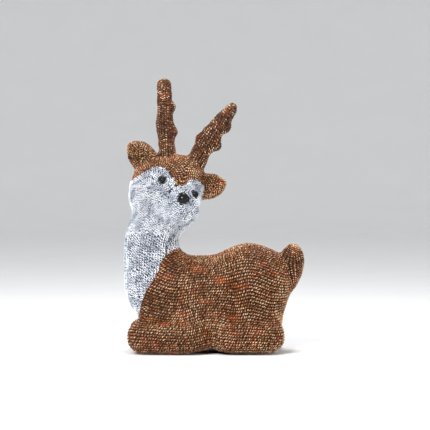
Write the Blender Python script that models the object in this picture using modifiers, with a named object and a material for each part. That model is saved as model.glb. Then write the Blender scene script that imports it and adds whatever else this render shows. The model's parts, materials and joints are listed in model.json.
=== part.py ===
"""Light-up yard reindeer, lying down with its head turned over its left shoulder.

Hollow shells of spun acrylic thread close round a steel wire frame, a string of LEDs and a battery
unit whose door opens in the right flank. Metres, +Z up: +X runs from the chest to the tail, and -Y
is the side that the face looks to. The origin is the middle of the footprint, on the ground.

Run it with blender --background --python part.py.
"""

from math import ceil, cos, hypot, pi, radians, sin

import bmesh
import bpy
from mathutils import Matrix, Vector
from mathutils.bvhtree import BVHTree

MM = 0.001

# Overall size. The masses below are given in millimetres of a reindeer of exactly this size.
LENGTH, DEPTH, HEIGHT = 318 * MM, 170 * MM, 480 * MM
NOMINAL = Vector((318, 170, 480))

# Spun acrylic shells.
WALL = 5.0 * MM
LINING_INSET = 6.5 * MM
GAP = 0.4 * MM  # between pieces that touch
SEAM = 0.6 * MM
FINE_VOXEL = 5 * MM
SKIN_VOXEL = 14.5 * MM
LINING_VOXEL = 18 * MM
HORN_VOXEL = 7.5 * MM
TAIL_VOXEL = 11 * MM
SHELL_SOLVER = "MANIFOLD"  # EXACT drops faces where a seam grazes the uneven facets
NECK_SEAM = 208  # height of the joint between head and body, in nominal millimetres

# The masses that the animal is built up from: centre and radii.
MASSES = {
    "chest": ((-99, 0, 118), (60, 60, 66)),
    "barrel": ((-20, 0, 98), (88, 63, 72)),
    "rump": ((60, 0, 112), (75, 72, 79)),
    "croup": ((88, 0, 128), (50, 56, 54)),
    "brisket": ((-86, 0, 44), (54, 58, 44)),
    "belly": ((0, 0, 48), (66, 62, 40)),
    "haunch": ((66, 0, 52), (56, 60, 52)),
    "skull": ((-92, -6, 279), (60, 56, 60)),
    "forehead": ((-62, -11, 300), (49, 46, 47)),
    "near_cheek": ((-114, -14, 262), (38, 36, 36)),
    "far_cheek": ((-54, -8, 262), (33, 36, 36)),
    "jaw": ((-76, -22, 240), (42, 38, 40)),
}
# Limbs are chains of round knots: centre and radius.
FORELEG = ((-123, 46, 28, 33), (-45, 52, 28, 33))
HINDLEG = ((34, 52, 28, 32), (95, 50, 29, 32.5))
NECK = ((-106, 0, 110, 52), (-110, -1, 160, 50), (-111, -2, 195, 47), (-106, -6, 245, 44))
SNOUT = ((-76, -26, 262, 42), (-58, -48, 252, 38))
TAIL = ((112, 0, 106, 23), (128, 0, 134, 27), (136.5, 0, 158, 25.5), (138, 0, 172, 20))

# Antlers: the beam's knots, then the stumps of its tines.
ANTLER_LEFT = ((-38, -6, 318, 20), (-16, -6, 360, 17.5), (-6, -6, 380, 16.5), (10.5, -6, 401, 14),
               (32, -6, 423.5, 13))
TINES_LEFT = ((-21, -8, 371, 13), (1, -8, 362, 13), (-5, -6, 388, 10), (17, -8, 390, 14))
ANTLER_RIGHT = ((-80, -2, 326, 16), (-85, -2, 384, 16), (-86, -2, 424, 15),
                (-87.5, -2, 465.5, 14.7))
TINES_RIGHT = ((-76, -5, 384, 13), (-93, -4, 394, 11), (-80, -4, 427, 13), (-78, -4, 350, 13))

# Ears: centre, radii, and the angle of the length away from straight up.
EAR_LEFT = ((-10, -6, 288), (23.5, 15, 32), 76)
EAR_RIGHT = ((-125.5, -6, 338.5), (26, 15, 33), -38)
EAR_HOLLOW = (0.72, 0.80, 0.78)  # how much smaller the bowl is than the ear
EAR_HOLLOW_SHIFT = -9

# Where the white thread ends, as seen from the left.
MASK_TOP = ((-170, 276), (-124, 311), (-93, 322), (-72, 306), (-66, 290.5), (-51, 290.5),
            (-42, 299), (-32, 301), (-21, 291), (-8, 276))
MASK_CORNERS = (4, 5)  # the widow's peak
MASK_BACK = 4
BIB_LEFT = ((-48, 184), (-80, 174), (-101, 136), (-121, 101), (-132, 58))
BIB_OVER = 1.6 * MM  # how far each side's white reaches past the middle
BIB_RIGHT = ((-132, 58), (-140, 104), (-136, 158), (-120, 204))

# Eyes and nose, pushed through the face shell and held by lock washers.
EYES = {"left": (-32, 275.5), "right": (-89, 301)}
EYE_RADIUS, EYE_HEIGHT = 6.5 * MM, 5.0 * MM
NOSE_AT = (-52, 269.5)
NOSE_RADIUS, NOSE_HEIGHT, NOSE_TURN = 10.5 * MM, 8.0 * MM, radians(20)
SINK = 1.0 * MM  # how deep an eye or the nose sits in the thread
POST_RADIUS, POST_END = 2.0 * MM, 3 * MM
WASHER_STANDOFF = 4 * MM
WASHER_RADIUS, WASHER_THICKNESS = 6.0 * MM, 1.2 * MM

# Steel frame.
WIRE_RADIUS = 1.5 * MM
OUTER_INSET = 4.5 * MM  # from the lining to the middle of the wire
INNER_INSET = 9.5 * MM
RING_INSET = 14.5 * MM
HOOP_POINTS, RING_POINTS = 16, 28
BASE_RING_HEIGHT = 27
SPINE_IN_NECK = ((-66, 0, 146), (-78, -1, 166), (-91, -2, 192), (-94, -3, 214), (-92, -4, 262))
HOOPS = {"chest_hoop": -67, "rump_hoop": 58}
NECK_HOOP_HEIGHT = 190

# LED string: x, z and side of each lamp in the order that the cable reaches them.
LAMPS = ((78, 128, 1), (82, 62, 1), (76, 44, -1), (32, 66, -1), (46, 116, -1), (84, 160, -1),
         (10, 132, -1), (-13, 92, -1), (-28, 150, -1), (-80, 134, -1), (-58, 70, -1),
         (-90, 62, 1), (-90, 128, 1), (-104, 168, -1), (-104, 250, -1), (-84, 300, 1))
LAMP_RADIUS, LAMP_LENGTH = 2.5 * MM, 12 * MM
LAMP_INSET = 2 * MM
CABLE_RADIUS = 1.2 * MM
CABLE_STEP = 30 * MM

# Battery unit: three AA cells on their sides, and the switch beside them.
CELL_RADIUS, CELL_LENGTH, CELL_PITCH, CELLS = 7.25 * MM, 50.5 * MM, 15.5 * MM, 3
FIT = 0.3 * MM  # round anything in the case
CASE_WALL, CASE_FLOOR = 4 * MM, 2 * MM
CONTACT = 0.6 * MM
SPRING_LENGTH, SPRING_WIRE, SPRING_TURNS = 7 * MM, 0.5 * MM, 2
CONTROL_WIDTH = 12 * MM
CASE_AT = (-5, 88)
CASE_PROUD = 3 * MM
DOOR_THICKNESS, GASKET, GASKET_WIDTH = 2.5 * MM, 1.0 * MM, 2.2 * MM
KNUCKLE_RADIUS, PIN_RADIUS = 2.6 * MM, 1.2 * MM
LUG_WIDTH = 8 * MM
BOARD = 1.6 * MM
SLIDER_WIDTH, SLIDER_TRAVEL = 4 * MM, 6 * MM
COVER = 2 * MM
SCREW_RADIUS, SCREW_LENGTH = 1.0 * MM, 8 * MM

BROWN = ((0.20, 0.08, 0.03), 0.35, 0.0)
WHITE = ((0.80, 0.83, 0.88), 0.35, 0.0)
BLACK = ((0.01, 0.01, 0.012), 0.12, 0.0)
STEEL = ((0.55, 0.55, 0.53), 0.35, 1.0)
CASING = ((0.05, 0.055, 0.06), 0.5, 0.0)
RUBBER = ((0.02, 0.02, 0.02), 0.8, 0.0)
LENS = ((1.0, 0.85, 0.6), 0.2, 0.0)
GREEN = ((0.03, 0.16, 0.06), 0.5, 0.0)
CELL = ((0.30, 0.30, 0.32), 0.3, 0.6)


def spot(x, y, z):
    """A place or a size, given in millimetres of the nominal reindeer."""
    return Vector((x * LENGTH / NOMINAL.x, y * DEPTH / NOMINAL.y, z * HEIGHT / NOMINAL.z))


def material(name, look):
    colour, roughness, metallic = look
    made = bpy.data.materials.new(name)
    made.use_nodes = True
    shader = made.node_tree.nodes["Principled BSDF"]
    shader.inputs["Base Color"].default_value = (*colour, 1)
    shader.inputs["Roughness"].default_value = roughness
    shader.inputs["Metallic"].default_value = metallic
    made.diffuse_color = (*colour, 1)
    return made


class Workshop:
    """The collections, the finished skin and the two ways that objects are added."""

    def __init__(self):
        for obj in list(bpy.data.objects):
            bpy.data.objects.remove(obj)
        self.parts = bpy.data.collections.new("yard_reindeer")
        self.cutters = bpy.data.collections.new("cutters")
        for collection in (self.parts, self.cutters):
            bpy.context.scene.collection.children.link(collection)
        self.root = bpy.data.objects.new("root", None)
        self.parts.objects.link(self.root)

    def part(self, name, data, look, place=None):
        obj = bpy.data.objects.new(name, data)
        self.parts.objects.link(obj)
        data.materials.clear()
        data.materials.append(material(name, look))
        obj.parent = self.root
        if place is not None:
            obj.matrix_world = place
        return obj

    def cutter(self, name, data, place=None):
        obj = bpy.data.objects.new(name, data)
        self.cutters.objects.link(obj)
        obj.hide_render = True
        obj.display_type = "WIRE"
        obj.parent = self.root
        if place is not None:
            obj.matrix_world = place
        return obj


def evaluated(obj):
    """A new mesh of the object as its modifiers leave it."""
    graph = bpy.context.evaluated_depsgraph_get()
    return bpy.data.meshes.new_from_object(obj.evaluated_get(graph))


def welded(obj):
    """The same, with a curve's loose caps joined to its sides."""
    mesh = evaluated(obj)
    bm = bmesh.new()
    bm.from_mesh(mesh)
    bmesh.ops.remove_doubles(bm, verts=bm.verts, dist=0.00001)
    bm.to_mesh(mesh)
    bm.free()
    return mesh


def settled(obj):
    """The same object with its modifiers applied."""
    obj.data = evaluated(obj)
    obj.modifiers.clear()
    return obj


def boolean(obj, operation, *cutters, solver="EXACT"):
    for cutter in cutters:
        modifier = obj.modifiers.new(cutter.name, "BOOLEAN")
        modifier.operation, modifier.object, modifier.solver = operation, cutter, solver


def mesh_of(name, build):
    """A mesh filled by a function that works on a bmesh."""
    bm = bmesh.new()
    build(bm)
    mesh = bpy.data.meshes.new(name)
    bm.to_mesh(mesh)
    bm.free()
    return mesh


def add_box(bm, low, high):
    low, high = Vector(low), Vector(high)
    place = Matrix.Translation((low + high) / 2) @ Matrix.Diagonal((*(high - low), 1))
    bmesh.ops.create_cube(bm, size=1, matrix=place)


def add_rod(bm, radius, start, end, segments=12):
    start, end = Vector(start), Vector(end)
    turn = (end - start).to_track_quat("Z", "Y").to_matrix().to_4x4()
    place = Matrix.Translation((start + end) / 2) @ turn
    bmesh.ops.create_cone(bm, cap_ends=True, segments=segments, radius1=radius, radius2=radius,
                          depth=(end - start).length, matrix=place)


def box(name, low, high):
    return mesh_of(name, lambda bm: add_box(bm, low, high))


def rod(name, radius, start, end, segments=12):
    return mesh_of(name, lambda bm: add_rod(bm, radius, start, end, segments))


def turned(name, profile, segments=12, ring=False):
    """A mesh turned round Z from a profile of (radius, height) that runs from top to bottom."""
    mesh = bpy.data.meshes.new(name)
    points = [(radius, 0, height) for radius, height in profile]
    edges = [(i, i + 1) for i in range(len(points) - 1)]
    if ring:
        edges.append((len(points) - 1, 0))
    mesh.from_pydata(points, edges, [])
    obj = bpy.data.objects.new(name, mesh)
    bpy.context.scene.collection.objects.link(obj)
    screw = obj.modifiers.new("turn", "SCREW")
    screw.steps = screw.render_steps = segments
    screw.use_merge_vertices, screw.merge_threshold = True, 0.00001
    done = welded(obj)
    bpy.data.objects.remove(obj)
    done.shade_smooth()
    return done


def flat_prism(name, outline, low, high, corners=()):
    """A closed outline in XZ, smooth except at its corners, reaching from one depth to another."""
    curve = bpy.data.curves.new(name, "CURVE")
    curve.dimensions, curve.fill_mode = "2D", "BOTH"
    curve.extrude = (high - low) / 2
    spline = curve.splines.new("BEZIER")
    spline.bezier_points.add(len(outline) - 1)
    spline.use_cyclic_u, spline.resolution_u = True, 5
    for i, (point, (x, z)) in enumerate(zip(spline.bezier_points, outline)):
        point.co = (x, z, 0)
        point.handle_left_type = point.handle_right_type = "VECTOR" if i in corners else "AUTO"
    obj = bpy.data.objects.new(name, curve)
    bpy.context.scene.collection.objects.link(obj)
    mesh = welded(obj)
    bpy.data.objects.remove(obj)
    mesh.transform(Matrix.Translation((0, (low + high) / 2, 0)) @ Matrix.Rotation(pi / 2, 4, "X"))
    return mesh


def wire(name, points, radius, cyclic=False):
    """A round wire along the points."""
    curve = bpy.data.curves.new(name, "CURVE")
    curve.dimensions = "3D"
    curve.bevel_depth, curve.bevel_resolution = radius, 2
    curve.use_fill_caps = not cyclic
    spline = curve.splines.new("POLY")
    spline.points.add(len(points) - 1)
    spline.use_cyclic_u = cyclic
    for point, place in zip(spline.points, points):
        point.co = (*place, 1)
    return curve


def smooth_path(points, step):
    """Points at about even steps along a smooth curve through the given ones."""
    ends = [2 * points[0] - points[1], *points, 2 * points[-1] - points[-2]]
    path = [points[0]]
    for before, start, end, after in zip(ends, ends[1:], ends[2:], ends[3:]):
        count = max(1, round((end - start).length / step))
        for i in range(1, count + 1):
            t = i / count
            path.append(0.5 * (2 * start + (end - before) * t
                               + (2 * before - 5 * start + 4 * end - after) * t ** 2
                               + (3 * start - before - 3 * end + after) * t ** 3))
    return path


# --- the soft forms ---------------------------------------------------------------------------

def knots(chain):
    """The chain's knots and enough more between them for one smooth limb."""
    for (*start, r0), (*end, r1) in zip(chain, chain[1:]):
        reach = (Vector(end) - Vector(start)).length
        steps = ceil(reach / (0.35 * min(r0, r1)))
        for i in range(steps + 1):
            share = i / steps
            yield Vector(start).lerp(Vector(end), share), r0 + (r1 - r0) * share


def add_ball(bm, centre, radii, segments=24):
    place = Matrix.Translation(spot(*centre)) @ Matrix.Diagonal((*spot(*radii), 1))
    bmesh.ops.create_uvsphere(bm, u_segments=segments, v_segments=segments // 2 + 2, radius=1,
                              matrix=place)


def heap(name, masses, chains=()):
    """Masses and limbs that still pass through one another."""
    def build(bm):
        for centre, radii in masses:
            add_ball(bm, centre, radii)
        for chain in chains:
            for centre, radius in knots(chain):
                add_ball(bm, centre, (radius, radius, radius), segments=18)
    return mesh_of(name, build)


def remesh(obj, voxel):
    modifier = obj.modifiers.new("remesh", "REMESH")
    modifier.mode, modifier.voxel_size = "VOXEL", voxel


def soften(obj, steps):
    modifier = obj.modifiers.new("soften", "SMOOTH")
    modifier.factor, modifier.iterations = 0.5, steps


def swell(obj, distance):
    modifier = obj.modifiers.new("swell", "DISPLACE")
    modifier.strength, modifier.mid_level = distance, 0


def mirrored(chain):
    return tuple((x, -y, z, r) for x, y, z, r in chain)


def animal_form(shop):
    """The closed outer form of head, neck, trunk and legs, and the form of the hollow in it."""
    legs = [FORELEG, mirrored(FORELEG), HINDLEG, mirrored(HINDLEG)]
    form = shop.cutter("form", heap("form", MASSES.values(), [*legs, NECK, SNOUT]))
    remesh(form, FINE_VOXEL)
    soften(form, 12)
    settled(form)
    lining = shop.cutter("lining", form.data.copy())
    soften(lining, 6)
    swell(lining, -LINING_INSET)
    remesh(lining, LINING_VOXEL)
    remesh(form, SKIN_VOXEL)
    ground = shop.cutter("ground", box("ground", spot(-400, -400, -100), spot(400, 400, 0)))
    boolean(form, "DIFFERENCE", ground)
    form.modifiers.new("flat_faces", "TRIANGULATE")
    raised = box("raised_ground", spot(-400, -400, -100), spot(400, 400, 0) + Vector((0, 0, WALL)))
    boolean(lining, "DIFFERENCE", shop.cutter("raised_ground", raised))
    return settled(form), settled(lining)


class Surface:
    """Finds places on the form, and places that lie a given depth inside it."""

    def __init__(self, form):
        self.tree = BVHTree.FromObject(form, bpy.context.evaluated_depsgraph_get())

    def hit(self, start, direction):
        place, normal, _, _ = self.tree.ray_cast(start, direction)
        return place, normal

    def inside(self, start, direction, inset):
        place, normal = self.hit(start, direction)
        return place - normal * inset


# --- spun acrylic shells ----------------------------------------------------------------------

def mask_region(shop):
    """A prism round the white mask."""
    far = spot(0, 300, 0).y
    top = [spot(x, 0, z) for x, z in MASK_TOP]
    outline = [(p.x, p.z) for p in top]
    outline += [(top[-1].x, top[-1].z - HEIGHT), (top[0].x, top[0].z - HEIGHT)]
    corners = (0, *MASK_CORNERS, len(top) - 1, len(top), len(top) + 1)
    back = spot(0, MASK_BACK, 0).y
    return shop.cutter("mask_region", flat_prism("mask_region", outline, -far, back, corners))


def bib_region(shop, name, spare=0):
    """Prisms round the white bib, one for each side, moved down and back by the spare width."""
    far, beyond = spot(0, 300, 0).y, spot(-300, 0, 0).x
    left, right = [[spot(x, 0, z) for x, z in line] for line in (BIB_LEFT, BIB_RIGHT[::-1])]
    sides = []
    for side, seam, low, high in (("left", left, -far, BIB_OVER + spare),
                                  ("right", right, -BIB_OVER - spare, far)):
        outline = [(p.x + spare, p.z - spare) for p in seam]
        outline += [(beyond, outline[-1][1]), (beyond, HEIGHT), (outline[0][0], HEIGHT)]
        count = len(seam)
        corners = (0, *range(count - 1, count + 3))
        piece = f"{name}_{side}"
        sides.append(shop.cutter(piece, flat_prism(piece, outline, low, high, corners)))
    whole, other = sides
    boolean(whole, "UNION", other, solver=SHELL_SOLVER)
    settled(whole).name = name
    bpy.data.objects.remove(other)
    return whole


def grown(shop, region, distance):
    """A copy of a region that is larger all round."""
    copy = shop.cutter(region.name + "_grown", region.data.copy())
    swell(copy, distance)
    return settled(copy)


def half_space(shop, name, low, high):
    return shop.cutter(name, box(name, spot(*low), spot(*high)))


def shells(shop, form, lining):
    """Head and body shells, white and brown, with a seam's width between them."""
    hollow = shop.cutter("hollow", form.data.copy())
    boolean(hollow, "DIFFERENCE", lining, solver=SHELL_SOLVER)
    settled(hollow)
    mask, bib = mask_region(shop), bib_region(shop, "bib_region")
    step = GAP / MM
    above = half_space(shop, "above_neck_seam", (-400, -400, NECK_SEAM), (400, 400, 900))
    below = half_space(shop, "below_neck_seam", (-400, -400, -100), (400, 400, NECK_SEAM - step))
    left = half_space(shop, "left_side", (-400, -400, -100), (400, -step / 2, 900))
    right = half_space(shop, "right_side", (-400, step / 2, -100), (400, 400, 900))
    not_mask, not_bib = grown(shop, mask, SEAM), bib_region(shop, "bib_room", SEAM)

    head = shop.cutter("head_hollow", hollow.data.copy())
    boolean(head, "INTERSECT", above, solver=SHELL_SOLVER)
    settled(head)
    body = shop.cutter("body_hollow", hollow.data.copy())
    boolean(body, "INTERSECT", below, solver=SHELL_SOLVER)
    settled(body)

    made = {}
    for name, stock, look, keep, lose in (
            ("face_shell", head, WHITE, (mask,), ()),
            ("crown_shell", head, BROWN, (), (not_mask,)),
            ("throat_bib", body, WHITE, (bib,), ()),
            ("body_shell_left", body, BROWN, (left,), (not_bib,)),
            ("body_shell_right", body, BROWN, (right,), (not_bib,))):
        made[name] = shop.part(name, stock.data.copy(), look)
        boolean(made[name], "DIFFERENCE", *lose, solver=SHELL_SOLVER)
        boolean(made[name], "INTERSECT", *keep, solver=SHELL_SOLVER)
    for spent in (hollow, head, body):
        bpy.data.objects.remove(spent)
    return made


def hollow_limb(shop, name, chain, knobs, voxel, against):
    """A limb of thread round a bore that opens where the limb stands on the skin."""
    knob_masses = [((x, y, z), (r, r, r)) for x, y, z, r in knobs]
    limb = shop.part(name, heap(name, knob_masses, [chain]), BROWN)
    remesh(limb, voxel / 2)
    soften(limb, 3)
    remesh(limb, voxel)
    settled(limb)
    core = [(x, y, z, r - WALL / MM) for x, y, z, r in chain]
    bore = bpy.data.curves.new(name + "_bore", "CURVE")
    bore.dimensions, bore.bevel_depth, bore.bevel_resolution = "3D", MM, 1
    bore.use_fill_caps = True
    spline = bore.splines.new("POLY")
    spline.points.add(len(core) - 1)
    for point, (x, y, z, r) in zip(spline.points, core):
        point.co, point.radius = (*spot(x, y, z), 1), r
    lump = bpy.data.objects.new(name + "_bore", bore)
    bpy.context.scene.collection.objects.link(lump)
    cutter = shop.cutter(name + "_bore_cut", welded(lump))
    bpy.data.objects.remove(lump)
    boolean(limb, "DIFFERENCE", against, cutter)
    return limb


def ear(shop, name, centre, radii, lean, against):
    """A cupped ear that faces the way the face does."""
    turn = Matrix.Rotation(radians(lean), 4, "Y")
    place = Matrix.Translation(spot(*centre)) @ turn

    def ball(scale, shift):
        size = [r * MM * s for r, s in zip(radii, scale)]
        return mesh_of(name, lambda bm: bmesh.ops.create_uvsphere(
            bm, u_segments=16, v_segments=10, radius=1,
            matrix=Matrix.Translation((0, shift * MM, 0)) @ Matrix.Diagonal((*size, 1))))

    made = shop.part(name, ball((1, 1, 1), 0), BROWN, place)
    bowl = shop.cutter(name + "_bowl", ball(EAR_HOLLOW, EAR_HOLLOW_SHIFT), place)
    boolean(made, "DIFFERENCE", bowl, against)
    return made


# --- eyes and nose ----------------------------------------------------------------------------

def three_lobed(mesh, turn):
    """Draws a turned button into a rounded triangle; its post stays round."""
    for vertex in mesh.vertices:
        x, y, _ = vertex.co
        if hypot(x, y) > 1.5 * POST_RADIUS:
            angle = Vector((1, 0)).angle_signed(Vector((x, y)))
            vertex.co.xy *= 1 + 0.1 * cos(3 * (angle - turn))


def button(shop, shell, skin, lining, name, x, z, radius, height, segments, lobes=None):
    """A domed button whose post goes through the face shell, and the lock washer behind it."""
    place, normal = skin.hit(spot(x, -300, z), Vector((0, 1, 0)))
    deep, _ = lining.hit(place - normal * HEIGHT / 8, normal)
    reach = (place - deep).length + WASHER_STANDOFF + WASHER_THICKNESS + POST_END
    dome = [(radius * cos(radians(a)), height * sin(radians(a))) for a in (90, 66, 44, 22, 0)]
    profile = [*dome, (radius, -SINK), (POST_RADIUS, -SINK), (POST_RADIUS, -reach), (0, -reach)]
    hole, bed, top = POST_RADIUS + GAP, SINK + GAP, 2 * height
    room = [(0, top), (radius + GAP, top), (radius + GAP, -bed), (hole, -bed),
            (hole, -2 * reach), (0, -2 * reach)]
    stud, socket = turned(name, profile, segments), turned(name + "_socket", room, segments)
    if lobes is not None:
        three_lobed(stud, lobes)
        three_lobed(socket, lobes)
    stand = Matrix.Translation(place) @ normal.to_track_quat("Z", "Y").to_matrix().to_4x4()
    shop.part(name, stud, BLACK, stand)
    boolean(shell, "DIFFERENCE", shop.cutter(name + "_socket", socket, stand), solver=SHELL_SOLVER)
    washer_top = -(place - deep).length - WASHER_STANDOFF
    ring = [(hole, washer_top), (WASHER_RADIUS, washer_top),
            (WASHER_RADIUS, washer_top - WASHER_THICKNESS), (hole, washer_top - WASHER_THICKNESS)]
    family, _, side = name.partition("_")
    washer = "_".join(filter(None, (family, "washer", side)))
    shop.part(washer, turned(washer, ring, ring=True), STEEL, stand)


def face_trim(shop, shell, skin, lining):
    for side, (x, z) in EYES.items():
        button(shop, shell, skin, lining, "eye_" + side, x, z, EYE_RADIUS, EYE_HEIGHT, 14)
    button(shop, shell, skin, lining, "nose", *NOSE_AT, NOSE_RADIUS, NOSE_HEIGHT, 21, NOSE_TURN)


# --- steel frame and LED string ---------------------------------------------------------------

def loop(surface, centre, across, along, inset, count=HOOP_POINTS):
    """Points a given depth inside the surface, all round a centre."""
    turns = [2 * pi * i / count for i in range(count)]
    return [surface.inside(centre, across * cos(a) + along * sin(a), inset) for a in turns]


def steel_frame(shop, lining):
    x_axis, y_axis, z_axis = Vector((1, 0, 0)), Vector((0, 1, 0)), Vector((0, 0, 1))
    ring = loop(lining, spot(0, 0, BASE_RING_HEIGHT), x_axis, y_axis, RING_INSET,
                RING_POINTS)
    shop.part("base_ring", wire("base_ring", ring, WIRE_RADIUS, cyclic=True), STEEL)
    for name, x in HOOPS.items():
        hoop = loop(lining, spot(x, 0, 96), y_axis, z_axis, INNER_INSET)
        shop.part(name, wire(name, hoop, WIRE_RADIUS, cyclic=True), STEEL)
    hoop = loop(lining, spot(-111, -2, NECK_HOOP_HEIGHT), x_axis, y_axis, OUTER_INSET)
    shop.part("neck_hoop", wire("neck_hoop", hoop, WIRE_RADIUS, cyclic=True), STEEL)
    back = [lining.inside(spot(x, 0, 100), z_axis, OUTER_INSET) for x in range(90, -35, -20)]
    spine = smooth_path([*back, *(spot(*place) for place in SPINE_IN_NECK)], CABLE_STEP)
    shop.part("spine_wire", wire("spine_wire", spine, WIRE_RADIUS), STEEL)


def led_string(shop, lining, start):
    """Lamps just inside the thread, and one cable that passes behind each of them in turn."""
    stations = []
    for x, z, side in LAMPS:
        place, normal = lining.hit(spot(x, 0, z), Vector((0, side, 0)))
        stations.append((place - normal * LAMP_INSET, normal))
    radius, length = LAMP_RADIUS, LAMP_LENGTH
    profile = [(0, 0), (0.6 * radius, -0.1 * radius), (radius, -0.6 * radius), (radius, -length),
               (0, -length)]
    lamp = turned("lamp", profile, 8)
    behind = LAMP_LENGTH + GAP + CABLE_RADIUS
    backs = [place - normal * behind for place, normal in stations]
    route = list(start)
    for i, (place, normal) in enumerate(stations):
        stand = Matrix.Translation(place) @ normal.to_track_quat("Z", "Y").to_matrix().to_4x4()
        shop.part(f"led_lamp_{i + 1:02d}", lamp.copy(), LENS, stand)
        before = backs[i - 1] if i else start[-1]
        after = backs[min(i + 1, len(backs) - 1)]
        along = (after - before) - normal * (after - before).dot(normal)
        along = along.normalized() * 2.4 * LAMP_RADIUS
        route += [backs[i] - along, backs[i] + along]
    shop.part("led_cable", wire("led_cable", smooth_path(route, CABLE_STEP), CABLE_RADIUS), GREEN)


# --- battery unit -----------------------------------------------------------------------------

class Case:
    """The case's sizes in its own frame: X along the cells, Y out of the flank, Z up."""

    def __init__(self):
        self.bay_length = CELL_LENGTH + 2 * CONTACT + SPRING_LENGTH + 5 * FIT
        self.bay_half = CELL_PITCH * (CELLS - 1) / 2 + CELL_RADIUS + 2 * FIT
        self.half_height = self.bay_half + CASE_WALL
        self.bay_depth = 2 * CELL_RADIUS + 4 * FIT + 2 * MM
        self.depth = self.bay_depth + CASE_FLOOR
        self.length = self.bay_length + CONTROL_WIDTH + 3 * CASE_WALL
        self.left = -self.length / 2
        self.bay_left = self.left + CASE_WALL
        self.bay_right = self.bay_left + self.bay_length
        self.control_left = self.bay_right + CASE_WALL
        self.control_right = self.control_left + CONTROL_WIDTH
        self.control_x = (self.control_left + self.control_right) / 2
        self.door_low = FIT + GASKET + FIT
        self.hinge = Vector((0, self.door_low + DOOR_THICKNESS / 2, self.half_height + MM))
        self.cell_y = -self.bay_depth + 2 * FIT + CELL_RADIUS
        self.cover_y = -self.depth - GAP
        self.board_y = -self.depth + 8 * MM


def battery_case(shop, case, place):
    half, bay = case.half_height, case.bay_half
    body = shop.part("battery_case", box("battery_case", (case.left, -case.depth, -half),
                                         (case.left + case.length, 0, half)), CASING, place)
    over = 5 * MM
    bay_room = box("bay_room", (case.bay_left, -case.bay_depth, -bay), (case.bay_right, over, bay))
    control_room = box("control_room", (case.control_left, -case.depth - over, -bay),
                       (case.control_right, -CASE_FLOOR, bay))
    slot_half = (SLIDER_WIDTH / 2 + FIT, SLIDER_TRAVEL / 2 + 0.6 * SLIDER_WIDTH + 2 * FIT)
    slot = box("slider_slot", (case.control_x - slot_half[0], -over, -slot_half[1]),
               (case.control_x + slot_half[0], over, slot_half[1]))
    for room in (bay_room, control_room, slot):
        boolean(body, "DIFFERENCE", shop.cutter(room.name, room, place))
    holes = mesh_of("screw_holes", lambda bm: [
        add_rod(bm, SCREW_RADIUS + FIT, (x, -case.depth - over, z),
                (x, -case.depth + SCREW_LENGTH, z), 8) for x, z in screw_spots(case)])
    boolean(body, "DIFFERENCE", shop.cutter("screw_holes", holes, place))
    hinge = case.hinge
    for name, x in (("near_lug", case.bay_left), ("far_lug", case.bay_right - LUG_WIDTH)):
        foot = box(name + "_foot", (x, -CASE_WALL / 2, case.bay_half + GASKET_WIDTH + 2 * FIT),
                   (x + LUG_WIDTH, hinge.y, hinge.z))
        eye = rod(name + "_eye", KNUCKLE_RADIUS, (x, hinge.y, hinge.z),
                  (x + LUG_WIDTH, hinge.y, hinge.z))
        for mesh in (foot, eye):
            boolean(body, "UNION", shop.cutter(mesh.name, mesh, place))
    bore = rod("hinge_bore", PIN_RADIUS + FIT, (case.bay_left - over, hinge.y, hinge.z),
               (case.bay_right + over, hinge.y, hinge.z), 10)
    bore = shop.cutter("hinge_bore", bore, place)
    boolean(body, "DIFFERENCE", bore)
    pin = rod("hinge_pin", PIN_RADIUS, (case.bay_left, hinge.y, hinge.z),
              (case.bay_right, hinge.y, hinge.z), 10)
    shop.part("hinge_pin", pin, STEEL, place)
    return bore


def battery_door(shop, case, place, bore):
    """The door's own origin is on the hinge."""
    hinge = case.hinge
    left = case.bay_left - GASKET_WIDTH - hinge.x
    right = case.bay_right + GASKET_WIDTH - hinge.x
    low, high = case.door_low - hinge.y, case.door_low + DOOR_THICKNESS - hinge.y
    top = -KNUCKLE_RADIUS - FIT
    bottom = -case.bay_half - GASKET_WIDTH - hinge.z
    knuckle_left = case.bay_left + LUG_WIDTH + FIT - hinge.x
    knuckle_right = case.bay_right - LUG_WIDTH - FIT - hinge.x
    stand = place @ Matrix.Translation(hinge)
    door = shop.part("battery_door", box("battery_door", (left, low, bottom), (right, high, top)),
                     CASING, stand)
    neck = box("door_neck", (knuckle_left, low, top - MM), (knuckle_right, high, 0))
    knuckle = rod("door_knuckle", KNUCKLE_RADIUS, (knuckle_left, 0, 0), (knuckle_right, 0, 0))
    tab = box("door_tab", (-4 * LUG_WIDTH / 3 - MM, low + MM, bottom - 3 * MM),
              (2 * LUG_WIDTH / 3 - MM, high + MM, bottom + MM))
    for mesh in (neck, knuckle, tab):
        boolean(door, "UNION", shop.cutter(mesh.name, mesh, stand))
    boolean(door, "DIFFERENCE", bore)
    seal = shop.part("door_gasket", box("door_gasket",
                                        (case.bay_left - GASKET_WIDTH, FIT, -case.bay_half - GASKET_WIDTH),
                                        (case.bay_right + GASKET_WIDTH, FIT + GASKET,
                                         case.bay_half + GASKET_WIDTH)), RUBBER, place)
    room = box("gasket_room", (case.bay_left, -5 * MM, -case.bay_half),
               (case.bay_right, 5 * MM, case.bay_half))
    boolean(seal, "DIFFERENCE", shop.cutter("gasket_room", room, place))


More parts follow.
